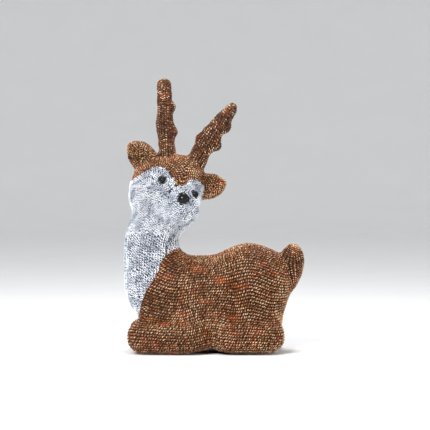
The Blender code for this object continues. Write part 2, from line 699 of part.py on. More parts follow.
def cells_and_contacts(shop, case, place):
    middle = (case.bay_left + case.bay_right) / 2
    nub = 2.75 * MM
    profile = [(0, CELL_LENGTH / 2), (nub, CELL_LENGTH / 2), (nub, CELL_LENGTH / 2 - 1.2 * MM),
               (CELL_RADIUS, CELL_LENGTH / 2 - 1.6 * MM), (CELL_RADIUS, -CELL_LENGTH / 2),
               (0, -CELL_LENGTH / 2)]
    cell = turned("cell", profile, 16)
    half_bay = case.bay_length / 2
    cell_x = half_bay - 2 * FIT - CONTACT - CELL_LENGTH / 2
    spring_start = -half_bay + 2 * FIT + CONTACT + SPRING_WIRE
    spring_reach = SPRING_LENGTH - 2 * SPRING_WIRE
    for i in range(CELLS):
        z = (i - (CELLS - 1) / 2) * CELL_PITCH
        flip = Matrix.Rotation(pi * (i % 2), 4, "Z")
        middle_place = place @ Matrix.Translation((middle, case.cell_y, z)) @ flip
        lay = Matrix.Translation((cell_x, 0, 0)) @ Matrix.Rotation(pi / 2, 4, "Y")
        shop.part(f"battery_cell_{i + 1}", cell.copy(), CELL, middle_place @ lay)
        count = SPRING_TURNS * 6
        coil = []
        for k in range(count + 1):
            share = k / count
            radius = 5 * MM - 2.4 * MM * share
            angle = 2 * pi * SPRING_TURNS * share
            coil.append((spring_start + spring_reach * share, radius * cos(angle),
                         radius * sin(angle)))
        name = f"contact_spring_{i + 1}"
        shop.part(name, wire(name, coil, SPRING_WIRE), STEEL, middle_place)
    high = case.bay_half - 2 * FIT
    for name, x in (("contact_plate_front", case.bay_left + FIT),
                    ("contact_plate_rear", case.bay_right - FIT - CONTACT)):
        plate = box(name, (x, case.cell_y - CELL_RADIUS, -high),
                    (x + CONTACT, case.cell_y + CELL_RADIUS, high))
        shop.part(name, plate, STEEL, place)


def screw_spots(case):
    outer = CASE_WALL / 2
    return [(x, z) for x in (case.control_left - outer, case.control_right + outer)
            for z in (case.bay_half + outer, -case.bay_half - outer)]


def controls(shop, case, place):
    """Circuit board, switch, the cover behind them, and where the LED cable leaves."""
    x, over = case.control_x, 5 * MM
    left, right = case.control_left + 2 * FIT, case.control_right - 2 * FIT
    board_top = case.board_y + BOARD
    board = box("circuit_board", (left, case.board_y, -case.bay_half + 2 * MM),
                (right, board_top, case.bay_half - 2 * MM))
    shop.part("circuit_board", board, GREEN, place)
    switch_top = -CASE_FLOOR - 2.5 * MM
    body = box("switch_body", (x - 3.5 * MM, board_top + FIT, -8 * MM),
               (x + 3.5 * MM, switch_top, 8 * MM))
    shop.part("switch_body", body, STEEL, place)
    half = SLIDER_WIDTH / 2
    rest = Vector((x, 0, SLIDER_TRAVEL / 2))
    stand = place @ Matrix.Translation(rest)
    stem = box("switch_slider", (-half, switch_top + FIT, -0.6 * SLIDER_WIDTH),
               (half, 1.5 * MM, 0.6 * SLIDER_WIDTH))
    slider = shop.part("switch_slider", stem, BLACK, stand)
    cap = box("slider_cap", (-2 * half, GAP, -2 * half), (2 * half, GAP + 2 * MM, 2 * half))
    boolean(slider, "UNION", shop.cutter("slider_cap", cap, stand))
    wall = CASE_WALL - FIT
    cover = box("circuit_cover", (case.control_left - wall, case.cover_y - COVER, -case.half_height),
                (case.control_right + wall, case.cover_y, case.half_height))
    cover = shop.part("circuit_cover", cover, CASING, place)
    exit_z = -12 * MM
    bore, neck = CABLE_RADIUS + GAP, CABLE_RADIUS + 2 * MM
    openings = mesh_of("cover_holes", lambda bm: (
        [add_rod(bm, SCREW_RADIUS + GAP, (sx, case.cover_y - over, sz),
                 (sx, case.cover_y + over, sz), 8) for sx, sz in screw_spots(case)],
        add_rod(bm, neck + FIT, (x, case.cover_y - over, exit_z), (x, case.cover_y + over, exit_z))))
    boolean(cover, "DIFFERENCE", shop.cutter("cover_holes", openings, place))
    flange, lip, half_neck = neck + 1.5 * MM, 1.2 * MM, COVER / 2 + FIT
    ring = [(bore, half_neck + lip), (flange, half_neck + lip), (flange, half_neck),
            (neck, half_neck), (neck, -half_neck), (flange, -half_neck),
            (flange, -half_neck - lip), (bore, -half_neck - lip)]
    out = Matrix.Rotation(pi / 2, 4, "X")
    seat = Matrix.Translation((x, case.cover_y - COVER / 2, exit_z)) @ out
    shop.part("cable_grommet", turned("cable_grommet", ring, 12, ring=True), RUBBER, place @ seat)
    head = 1.9 * SCREW_RADIUS
    profile = [(0, 1.4 * MM), (head, 1.4 * MM), (head, 0), (SCREW_RADIUS, 0),
               (SCREW_RADIUS, -SCREW_LENGTH), (0, -SCREW_LENGTH)]
    screw = turned("cover_screw", profile, 8)
    for i, (sx, sz) in enumerate(screw_spots(case)):
        seat = Matrix.Translation((sx, case.cover_y - COVER - GAP, sz)) @ out
        shop.part(f"cover_screw_{i + 1}", screw.copy(), STEEL, place @ seat)
    inner = Vector((x, case.board_y - 2 * GAP, exit_z))
    leave = [inner, Vector((x, case.cover_y, exit_z)), Vector((x, case.cover_y - 8 * MM, exit_z))]
    return [place @ point for point in leave]


def battery_unit(shop, skin, shell):
    case = Case()
    centre, _ = skin.hit(spot(CASE_AT[0], 0, CASE_AT[1]), Vector((0, 1, 0)))
    place = Matrix.Translation(centre + Vector((0, CASE_PROUD, 0)))
    bore = battery_case(shop, case, place)
    battery_door(shop, case, place, bore)
    cells_and_contacts(shop, case, place)
    cable_start = controls(shop, case, place)
    opening = box("case_opening", (case.left - GAP, -2 * case.depth, -case.half_height - GAP),
                  (case.left + case.length + GAP, 2 * case.depth, case.half_height + GAP))
    boolean(shell, "DIFFERENCE", shop.cutter("case_opening", opening, place), solver=SHELL_SOLVER)
    return cable_start


def centre_footprint(shop):
    """Brings the middle of the whole footprint to the origin."""
    bpy.context.view_layer.update()
    graph = bpy.context.evaluated_depsgraph_get()
    places = []
    for obj in shop.parts.objects:
        if obj.type != "EMPTY":
            mesh = obj.evaluated_get(graph).to_mesh()
            places += [(obj.matrix_world @ vertex.co).xy for vertex in mesh.vertices]
            obj.evaluated_get(graph).to_mesh_clear()
    low = Vector(min(place[i] for place in places) for i in range(2))
    high = Vector(max(place[i] for place in places) for i in range(2))
    middle = (low + high) / 2
    shop.root.location = (-middle.x, -middle.y, 0)
    bpy.context.view_layer.update()


def main():
    shop = Workshop()
    form, lining_form = animal_form(shop)
    skin, lining = Surface(form), Surface(lining_form)
    made = shells(shop, form, lining_form)
    against = grown(shop, form, GAP)
    hollow_limb(shop, "antler_left", ANTLER_LEFT, TINES_LEFT, HORN_VOXEL, against)
    hollow_limb(shop, "antler_right", ANTLER_RIGHT, TINES_RIGHT, HORN_VOXEL, against)
    hollow_limb(shop, "tail", TAIL, (), TAIL_VOXEL, against)
    ear(shop, "ear_left", *EAR_LEFT, against)
    ear(shop, "ear_right", *EAR_RIGHT, against)
    face_trim(shop, made["face_shell"], skin, lining)
    steel_frame(shop, lining)
    cable_start = battery_unit(shop, skin, made["body_shell_right"])
    led_string(shop, lining, cable_start)
    centre_footprint(shop)


main()
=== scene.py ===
"""Looks of the light-up yard reindeer: looped acrylic thread over every shell, moulded eyes and
nose, the battery unit, and a plain studio round them.

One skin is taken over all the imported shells. Rows are drawn over it as lines of equal distance, and
one Geometry Nodes tree winds a looped thread along every row.
"""

import heapq
import json
from math import cos, pi, radians, sin, sqrt

import bmesh
import bpy
import numpy as np
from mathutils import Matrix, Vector, noise
from mathutils.bvhtree import BVHTree

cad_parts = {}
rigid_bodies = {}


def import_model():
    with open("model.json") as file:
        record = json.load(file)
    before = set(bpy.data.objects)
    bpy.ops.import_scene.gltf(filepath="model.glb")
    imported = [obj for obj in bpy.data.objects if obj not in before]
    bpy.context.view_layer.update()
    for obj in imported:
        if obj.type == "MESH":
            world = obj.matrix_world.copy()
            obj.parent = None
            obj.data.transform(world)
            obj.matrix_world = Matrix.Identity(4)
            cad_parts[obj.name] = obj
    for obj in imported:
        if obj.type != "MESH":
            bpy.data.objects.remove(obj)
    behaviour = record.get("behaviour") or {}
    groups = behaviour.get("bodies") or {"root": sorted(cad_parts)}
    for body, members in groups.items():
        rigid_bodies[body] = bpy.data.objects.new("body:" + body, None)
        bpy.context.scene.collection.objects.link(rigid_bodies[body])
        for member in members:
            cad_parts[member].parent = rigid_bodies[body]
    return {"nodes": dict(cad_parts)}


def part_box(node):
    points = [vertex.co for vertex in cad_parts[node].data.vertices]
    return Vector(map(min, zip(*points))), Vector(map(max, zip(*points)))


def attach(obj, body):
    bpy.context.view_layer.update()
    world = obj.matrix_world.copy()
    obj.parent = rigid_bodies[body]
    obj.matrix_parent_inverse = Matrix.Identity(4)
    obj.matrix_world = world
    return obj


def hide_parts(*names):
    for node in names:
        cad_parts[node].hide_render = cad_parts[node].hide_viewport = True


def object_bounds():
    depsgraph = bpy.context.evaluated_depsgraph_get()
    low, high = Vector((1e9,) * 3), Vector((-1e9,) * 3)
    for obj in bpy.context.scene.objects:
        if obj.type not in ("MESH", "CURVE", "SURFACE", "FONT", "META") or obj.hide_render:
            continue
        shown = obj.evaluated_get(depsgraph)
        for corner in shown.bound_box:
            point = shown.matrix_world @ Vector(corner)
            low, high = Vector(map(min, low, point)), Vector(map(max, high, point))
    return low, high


MM = 0.001

# Shells, their finishes and what is set into them.
SHELLS = {"body_shell_left": "brown", "body_shell_right": "brown", "throat_bib": "white",
          "face_shell": "white", "crown_shell": "brown", "ear_left": "brown",
          "ear_right": "brown", "antler_left": "antler", "antler_right": "antler", "tail": "brown"}
FLANKS = ("body_shell_left", "body_shell_right")
ANTLERS = ("antler_left", "antler_right")
LIMBS = ("ear_left", "ear_right", *ANTLERS, "tail")
TRIM = ("eye_left", "eye_right", "nose")
UNIT = ("battery_case", "battery_door", "circuit_cover")

# The skin.
SKIN_VOXEL, SKIN_ROUNDS = 3.0 * MM, 16
LIMB_SHARE, LIMB_BLEND = 0.30, 6  # share of the smoothing on limbs, and rounds that blend it in
SOCKET_MARGIN = 3.5 * MM  # skin relaxed round an eye or the nose
SOCKET_ROUNDS = 90
KNOB_SIZE, KNOB_HEIGHT = Vector((14 * MM, 14 * MM, 14 * MM)), 2.0 * MM  # lumps on the antlers
FOLD_SIZE, FOLD_HEIGHT = Vector((9 * MM, 9 * MM, 70 * MM)), 2.2 * MM  # the bib's long creases
FADE_ROUNDS = 8

# Hollows, or lumps where the depth is below zero: centre x, z, half width, half height, depth.
FLANK_SHAPES = [
    (23, 95, 14, 50, 8.5), (-5, 58, 125, 7, 4.6), (-3, 33, 11, 22, 6.5),
    (-60, 32, 45, 16, -3.5), (75, 28, 40, 14, -2.5), (62, 98, 28, 28, -3.0)]
SHAPES = [  # the same, with their shells
    (-142, 60, 9, 10, 4.0, (*FLANKS, "throat_bib")), (-3, 12, 26, 13, -8.0, (*FLANKS, "tail")),
    (20, 294, 7, 7, -3.0, ("ear_left",)), (14, 309, 7, 7, 2.5, ("ear_left",)),
    (-143, 240, 34, 15, 6.5, ("face_shell", "throat_bib", "crown_shell", *FLANKS)),
    (-150, 330, 13, 17, 3.5, ("ear_right",)), (-148, 363, 10, 9, -3.0, ("ear_right",)),
    (-71, 427, 7, 8, -3.6, ("antler_right",)), (-66, 383, 7, 9, -3.6, ("antler_right",)),
    (-101, 399, 6, 7, -2.4, ("antler_right",)), (-70, 441, 8, 4, 2.2, ("antler_right",)),
    (27, 392, 7, 8, -3.6, ("antler_left",)), (6, 357, 7, 8, -3.6, ("antler_left",)),
    (-29, 371, 6, 7, -2.4, ("antler_left",)), (17, 376, 7, 4, 2.4, ("antler_left",))]
SHAPE_ROUNDS = 2

# Rows of thread.
ROW_STEP = 1.4 * MM
FIRST_ROW = 0.1  # of a row's width, from a start line
BODY_ROWS = 42  # from the ground to the ridge of the back
BIB_ROW, FACE_ROW, HEAD_ROW, LIMB_ROW = 4.6 * MM, 3.7 * MM, 4.5 * MM, 4.1 * MM
START_HALF_WIDTH = 1.6 * MM  # of the line that rows start from
TURNED = 0.3  # part of a normal that faces a way
GROUND_TURN, GROUND_TOP = -0.88, 30 * MM
BACK_START, RUMP_END, NAPE_BASE, NAPE_TOP, BIB_TOP = (
    side * MM for side in (-60, 118, 140, 225, 235))
TRIM_START = 1.5 * MM
BOWL_TURN, BOWL_RADIUS = -0.7, 2.5 * MM  # the middle of an ear's bowl
FIELD_ROUNDS, REACH_ROUNDS = 2, 3
TRIM_CLEARANCE = 1.35 * MM
CASE_MARGIN, CASE_HEADROOM = 1.5 * MM, 5 * MM
THREAD_SINK = 0.9 * MM  # the middle of a loop, under the skin
BACKING_SINK, BACKING_WALL = 2.5 * MM, 1.2 * MM

# Loops.
LOOP_STEPS, THREAD_SIDES = 8, 4
BODY_LOOP = {"Pitch": 4.6 * MM, "Half Width": 1.35 * MM, "Half Height": 1.0 * MM,
             "Lean": 1.0 * MM, "Thread Radius": 0.85 * MM, "Wander": 15.0}
BIB_LOOP = {**BODY_LOOP, "Half Width": 1.45 * MM, "Thread Radius": 0.72 * MM, "Wander": 16.0}
FINE_LOOP = {"Pitch": 4.0 * MM, "Half Width": 1.20 * MM, "Half Height": 0.85 * MM,
             "Lean": 0.9 * MM, "Thread Radius": 0.72 * MM, "Wander": 10.0}
FACE_LOOP = {"Pitch": 3.4 * MM, "Half Width": 1.15 * MM, "Half Height": 0.60 * MM,
             "Lean": 0.8 * MM, "Thread Radius": 0.60 * MM, "Wander": 20.0}

# Light that comes through the thread.
GLOW_SPREAD = Vector((11 * MM, 32 * MM, 3.4 * MM))
STREAK_SIZE = Vector((20 * MM, 20 * MM, 5 * MM))
STREAK_FLOOR, STREAK_GAIN = 0.40, 3.0
EDGE_X, EDGE_TOP = 104 * MM, 152 * MM

# Moulded pieces.
BUTTON_VOXEL, BUTTON_ROUNDS = 0.7 * MM, 12
EDGE_WIDTH, SHARP = 0.5 * MM, radians(50)
TAB_RISE, RIB_RISE, RIB_ROOT, RIB_EDGE = 1.0 * MM, 0.7 * MM, 0.6 * MM, 0.2 * MM

FLOOR_DROP = 1.5 * MM


# --- node trees -------------------------------------------------------------------------------

class Value:
    """A socket that arithmetic can be written with."""

    def __init__(self, graph, socket):
        self.graph, self.socket = graph, socket

    def _math(self, operation, first, second):
        return self.graph.node("ShaderNodeMath", {"operation": operation}, {0: first, 1: second})

    def __add__(self, other):
        return self._math("ADD", self, other)

    def __radd__(self, other):
        return self._math("ADD", other, self)

    def __sub__(self, other):
        return self._math("SUBTRACT", self, other)

    def __rsub__(self, other):
        return self._math("SUBTRACT", other, self)

    def __mul__(self, other):
        return self._math("MULTIPLY", self, other)

    def __rmul__(self, other):
        return self._math("MULTIPLY", other, self)

    def __truediv__(self, other):
        return self._math("DIVIDE", self, other)

    def __rtruediv__(self, other):
        return self._math("DIVIDE", other, self)


class Graph:
    """A node tree that grows one call at a time."""

    def __init__(self, tree):
        self.tree = tree

    def node(self, kind, settings=None, inputs=None, output=0):
        made = self.tree.nodes.new(kind)
        for key, value in (settings or {}).items():
            if key == "stops":
                self.set_stops(made.color_ramp, value)
            else:
                setattr(made, key, value)
        for key, value in (inputs or {}).items():
            if isinstance(value, Value):
                self.tree.links.new(value.socket, made.inputs[key])
            else:
                made.inputs[key].default_value = value
        return Value(self, made.outputs[output]) if made.outputs else made

    @staticmethod
    def set_stops(ramp, stops):
        while len(ramp.elements) < len(stops):
            ramp.elements.new(1.0)
        for element, (position, color) in zip(ramp.elements, stops):
            element.position, element.color = position, (*color, 1.0)

    def vector(self, operation, first, second, output=0):
        return self.node("ShaderNodeVectorMath", {"operation": operation}, {0: first, 1: second},
                         output)


class Finish(Graph):
    """A material."""

    def __init__(self, name):
        self.material = bpy.data.materials.new(name)
        self.material.use_nodes = True
        super().__init__(self.material.node_tree)
        self.tree.nodes.clear()
        self.place = self.node("ShaderNodeTexCoord", output="Object")

    def noise(self, scale, detail=2.0, place=None):
        return self.node("ShaderNodeTexNoise", {}, {
            "Vector": place or self.place, "Scale": scale, "Detail": detail})

    def stretched(self, size):
        return self.vector("MULTIPLY", self.place, size)

    def ramp(self, value, stops):
        return self.node("ShaderNodeValToRGB", {"stops": stops}, {"Fac": value})

    def mix(self, share, first, second, blend="MIX"):
        sockets = {0: share, 6: self.color(first), 7: self.color(second)}
        return self.node("ShaderNodeMix", {"data_type": "RGBA", "blend_type": blend}, sockets, 2)

    @staticmethod
    def color(value):
        return value if isinstance(value, Value) else (*value, 1.0)

    def attribute(self, name):
        return self.node("ShaderNodeAttribute", {"attribute_name": name}, output="Fac")

    def bump(self, height, distance, strength=1.0):
        return self.node("ShaderNodeBump", {}, {
            "Height": height, "Distance": distance, "Strength": strength})

    def surface(self, **inputs):
        """Ends the tree in one Principled surface. Underscores stand for spaces."""
        named = {key.replace("_", " "): value for key, value in inputs.items()}
        for key in ("Base Color", "Emission Color"):
            if key in named:
                named[key] = self.color(named[key])
        shader = self.node("ShaderNodeBsdfPrincipled", {}, named)
        self.node("ShaderNodeOutputMaterial", {}, {"Surface": shader})
        return self.material


# --- finishes ---------------------------------------------------------------------------------

def thread_finish(name, stops, tints, glow, roughness, grain=(1, 1, 1)):
    """Clear-coated acrylic thread: each loop a little darker or lighter, lit by the lamps, and
    painted lighter at the top of every loop and darker at its foot, as painted highlight and painted
    shade.
    """
    made = Finish(name)
    # Patches stretched by the given lay: on the antlers their long light streaks are painted glints,
    # the darker ones random tone.
    patch = made.noise(30, 3, place=made.stretched(grain))
    loop = made.noise(210, 1)
    crest = made.attribute("crest")
    light = made.attribute("glow")
    # The loop-height attribute paints each loop lighter at its top and darker at its foot: painted
    # highlight and painted shade.
    tone = made.ramp(patch * 0.36 + loop * 0.55 + crest * 0.34 - 0.14, stops)
    tone = made.mix(1.0, tone, made.ramp(made.noise(60, 2), tints), "MULTIPLY")
    warm = made.mix(made.attribute("edge"), glow, (0.55, 0.26, 0.04))
    lit = made.mix(light + made.attribute("edge") * 0.5, (0, 0, 0), warm)
    return made.surface(
        Base_Color=tone, Roughness=made.noise(600, 2) * 0.16 + roughness, IOR=1.49,
        Specular_IOR_Level=0.35, Coat_Weight=0.35, Coat_Roughness=0.08,
        Emission_Color=lit, Emission_Strength=1.0,
        Normal=made.bump(made.noise(1500, 2), 0.05 * MM, 0.5))


def backing_finish(name, dark, light, glow):
    """The thin fused film behind the loops. Its dark colour is painted shade: the shade that shows in
    the gaps between the loops.
    """
    made = Finish(name)
    speck_and_gap_shade = made.ramp(made.noise(420, 1), [(0.50, dark), (0.66, light)])
    lit = made.mix(made.attribute("glow"), (0, 0, 0), glow)
    return made.surface(
        Base_Color=speck_and_gap_shade, Roughness=made.noise(300, 2) * 0.2 + 0.45, Specular_IOR_Level=0.12,
        Emission_Color=lit, Emission_Strength=0.6,
        Normal=made.bump(made.noise(420, 3), 0.6 * MM, 1.0))


def moulded_finish(name, dark, light, roughness, grain=0.03 * MM, shine=0.5):
    """Moulded plastic or rubber with a fine spark-eroded grain."""
    made = Finish(name)
    tone = made.mix(made.noise(60, 3), dark, light)
    return made.surface(
        Base_Color=tone, Roughness=made.noise(180, 3) * 0.14 + roughness,
        Specular_IOR_Level=shine, Normal=made.bump(made.noise(2600, 2), grain, 0.6))


def metal_finish(name, dark, light, roughness, lay):
    """Drawn or pressed metal: fine scratches lie along one way."""
    made = Finish(name)
    scratch = made.noise(400, 3, place=made.stretched(lay))
    tone = made.mix(scratch, dark, light)
    return made.surface(
        Base_Color=tone, Metallic=1.0, Roughness=scratch * 0.25 + roughness,
        Normal=made.bump(scratch, 0.02 * MM, 0.5))


# --- skins ------------------------------------------------------------------------------------

class Skin:
    """A smooth closed surface: points, normals, edges and triangles as arrays."""

    def __init__(self, nodes, voxel):
        joined = bmesh.new()
        for name in nodes:
            joined.from_mesh(frame["nodes"][name].data)
        bmesh.ops.remove_doubles(joined, verts=joined.verts, dist=0.001 * MM)
        mesh = bpy.data.meshes.new("skin")
        joined.to_mesh(mesh)
        joined.free()
        source = bpy.data.objects.new("skin", mesh)
        bpy.context.scene.collection.objects.link(source)
        remesh = source.modifiers.new("even", "REMESH")
        remesh.mode, remesh.voxel_size = "VOXEL", voxel
        self.mesh = plain_mesh(source, "skin")
        bpy.data.objects.remove(source)
        self.points = read(self.mesh.vertices, "co", 3)
        self.edges = read(self.mesh.edges, "vertices", 2, int)
        self.refresh()

    def refresh(self):
        self.mesh.vertices.foreach_set("co", self.points.astype(np.float32).ravel())
        self.mesh.update()
        self.mesh.calc_loop_triangles()
        self.triangles = read(self.mesh.loop_triangles, "vertices", 3, int)
        self.normals = read(self.mesh.vertices, "normal", 3)

    def relax(self, rounds, loose=None):
        """Moves each point half way to the middle of its neighbours, again and again."""
        self.points = spread(self.points, self.edges, rounds, loose)
        self.refresh()

    def near(self, nodes, margin):
        """Which points are inside these nodes or within the margin of them."""
        solids = [Solid(name) for name in nodes]
        return np.array([any(s.depth(Vector(p)) < margin for s in solids) for p in self.points])

    def travel(self, start):
        """How far it is over the skin from the start points to every point."""
        around = [[] for _ in self.points]
        for a, b, c in self.triangles.tolist():
            around[a].append((b, c))
            around[b].append((c, a))
            around[c].append((a, b))
        points = [tuple(p) for p in self.points.tolist()]
        far = [float("inf")] * len(points)
        settled = [False] * len(points)
        queue = []
        for i in np.flatnonzero(start).tolist():
            far[i] = 0.0
            heapq.heappush(queue, (0.0, i))
        while queue:
            reach, i = heapq.heappop(queue)
            if settled[i]:
                continue
            settled[i] = True
            for j, k in around[i]:
                for corner, other in ((j, k), (k, j)):
                    if settled[corner]:
                        continue
                    known = far[other] if settled[other] else None
                    new = arrival(points[corner], points[i], points[other], reach, known)
                    if new < far[corner]:
                        far[corner] = new
                        heapq.heappush(queue, (new, corner))
        return np.array(far)


def arrival(corner, first, second, reach, other_reach):
    """When a straight front that passes first and second reaches the corner."""
    ax, ay, az = (p - q for p, q in zip(first, corner))
    aa = ax * ax + ay * ay + az * az
    direct = reach + sqrt(aa)
    if other_reach is None:
        return direct
    bx, by, bz = (p - q for p, q in zip(second, corner))
    bb = bx * bx + by * by + bz * bz
    ab = ax * bx + ay * by + az * bz
    area = aa * bb - ab * ab
    direct = min(direct, other_reach + sqrt(bb))
    if area <= 0:
        return direct
    square = (aa + bb - 2 * ab) / area
    half = ((bb - ab) * reach + (aa - ab) * other_reach) / area
    rest = (bb * reach * reach - 2 * ab * reach * other_reach + aa * other_reach * other_reach)
    root = half * half - square * (rest / area - 1)
    if root < 0:
        return direct
    front = (half + sqrt(root)) / square
    da, db = front - reach, front - other_reach
    inside = bb * da - ab * db > 0 and aa * db - ab * da > 0
    return front if inside else direct


def read(items, name, width, kind=float):
    flat = np.zeros(len(items) * width, np.int32 if kind is int else np.float32)
    items.foreach_get(name, flat)
    return flat.reshape(-1, width).astype(kind)


def spread(values, edges, rounds, loose=None):
    """Values on points, each moved half way to its neighbours' mean in every round."""
    values = np.asarray(values, float)
    flat = values.reshape(len(values), -1)
    ends = np.concatenate([edges[:, 0], edges[:, 1]])
    others = np.concatenate([edges[:, 1], edges[:, 0]])
    count = np.bincount(ends, minlength=len(flat))
    pull = 0.5 if loose is None else 0.5 * np.asarray(loose, float)
    for _ in range(rounds):
        mean = np.stack([np.bincount(ends, column[others], len(flat)) / count
                         for column in flat.T], axis=1)
        flat = flat + (mean - flat) * np.reshape(pull, (-1, 1))
    return flat.reshape(values.shape)


def plain_mesh(obj, name):
    depsgraph = bpy.context.evaluated_depsgraph_get()
    mesh = bpy.data.meshes.new_from_object(obj.evaluated_get(depsgraph))
    mesh.name = name
    return mesh


class Solid:
    """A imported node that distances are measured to."""

    def __init__(self, name):
        mesh = frame["nodes"][name].data
        self.tree = BVHTree.FromPolygons([v.co for v in mesh.vertices],
                                         [p.vertices[:] for p in mesh.polygons])

    def depth(self, point):
        """Distance to the surface, below zero inside."""
        place, normal, _, distance = self.tree.find_nearest(point)
        return -distance if (point - place).dot(normal) < 0 else distance

    def distance(self, point):
        return self.tree.find_nearest(point)[3]


# --- rows -------------------------------------------------------------------------------------

def level_lines(skin, field, reach):
    """The lines over the reached skin where the field is a whole number and FIRST_ROW."""
    places, links = {}, {}
    level = field - FIRST_ROW
    for triangle in skin.triangles[reach[skin.triangles].all(axis=1)].tolist():
        values = [level[i] for i in triangle]
        for k in range(int(np.ceil(min(values))), int(np.floor(max(values))) + 1):
            if k < 0:
                continue
            ends = []
            for a, b in zip(triangle, triangle[1:] + triangle[:1]):
                low, high = (a, b) if a < b else (b, a)
                if (level[low] < k) == (level[high] < k):
                    continue
                key = (k, low, high)
                share = (k - level[low]) / (level[high] - level[low])
                if key not in places:
                    places[key] = [
                        pair[low] + (pair[high] - pair[low]) * share
                        for pair in (skin.points, skin.normals)]
                ends.append(key)
            if len(ends) == 2:
                links.setdefault(ends[0], []).append(ends[1])
                links.setdefault(ends[1], []).append(ends[0])
    lines, used = [], set()
    for start in sorted(links, key=lambda key: (len(links[key]), key)):
        if start in used:
            continue
        chain, here = [], start
        while here is not None:
            used.add(here)
            chain.append(places[here])
            here = next((key for key in links[here] if key not in used), None)
        if len(links[start]) == 2 and start in links[start] + [start] and len(chain) > 4:
            chain.append(chain[0])
        lines.append(np.array(chain))
    return lines


def evened(line):
    """A chain of (place, normal) pairs, smoothed a little and cut in equal steps."""
    for _ in range(3):
        line = np.concatenate([line[:1], (line[:-2] + 2 * line[1:-1] + line[2:]) / 4, line[-1:]])
    lengths = np.linalg.norm(np.diff(line[:, 0], axis=0), axis=1)
    along = np.concatenate([[0], np.cumsum(lengths)])
    if along[-1] < 3 * ROW_STEP:
        return None
    stations = np.linspace(0, along[-1], int(along[-1] / ROW_STEP) + 1)
    flat = line.reshape(len(line), 6)
    line = np.stack([np.interp(stations, along, column) for column in flat.T], axis=1)
    normals = line[:, 3:] / np.linalg.norm(line[:, 3:], axis=1)[:, None]
    return line[:, :3] - normals * THREAD_SINK, normals


def runs(labels):
    """Start and end of every stretch of equal labels."""
    start = 0
    for i in range(1, len(labels) + 1):
        if i == len(labels) or labels[i] != labels[start]:
            yield labels[start], start, i
            start = i


class Rows:
    """Rows of thread that share one piece."""

    def __init__(self):
        self.points, self.normals, self.edges = [], [], []

    def add(self, points, normals):
        first = len(self.points)
        self.points += points.tolist()
        self.normals += normals.tolist()
        self.edges += [(i, i + 1) for i in range(first, len(self.points) - 1)]


def lay_rows(skin, fields, reach, label_of):
    """Draws the fields' lines over the skin and sorts their stretches by label."""
    found = {}
    for line in (line for field in fields for line in level_lines(skin, field, reach)):
        row = evened(line)
        if row is None:
            continue
        points, normals = row
        labels = [label_of(Vector(p)) for p in points]
        for label, start, end in runs(labels):
            if label is not None:
                cut = slice(max(start - 1, 0), end + 1)
                found.setdefault(label, Rows()).add(points[cut], normals[cut])
    return found


# --- light through the thread -----------------------------------------------------------------

def lamp_places():
    return [sum(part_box(name), Vector()) / 2 for name in frame["nodes"] if "led_lamp" in name]


def glow_at(points):
    """How much lamp light shows at each point: a soft streak by every lamp, and stray ones."""
    points = np.asarray(points, float)
    light = np.zeros(len(points))
    for lamp in LAMPS:
        off = (points - np.array(lamp)) / np.array(GLOW_SPREAD)
        light += np.exp(-(off ** 2).sum(axis=1))
    stray = np.array([noise.noise(Vector((p[0] / STREAK_SIZE.x, p[1] / STREAK_SIZE.y,
                                          p[2] / STREAK_SIZE.z))) for p in points])
    light += np.clip((stray - STREAK_FLOOR) * STREAK_GAIN, 0, 0.6)
    return np.clip(light, 0, 1)


def edge_at(points, normals):
    """The lit rim at the back of the rump."""
    points, normals = np.asarray(points, float), np.asarray(normals, float)
    low = (points[:, 0] > EDGE_X) & (points[:, 2] < EDGE_TOP)
    return np.where(low, np.clip((normals[:, 0] - 0.93) / 0.06, 0, 1), 0.0)


def give(mesh, name, values, kind="FLOAT"):
    attribute = mesh.attributes.new(name, kind, "POINT")
    key = "vector" if kind == "FLOAT_VECTOR" else "value"
    attribute.data.foreach_set(key, np.asarray(values, np.float32).ravel())


# --- looped thread ----------------------------------------------------------------------------

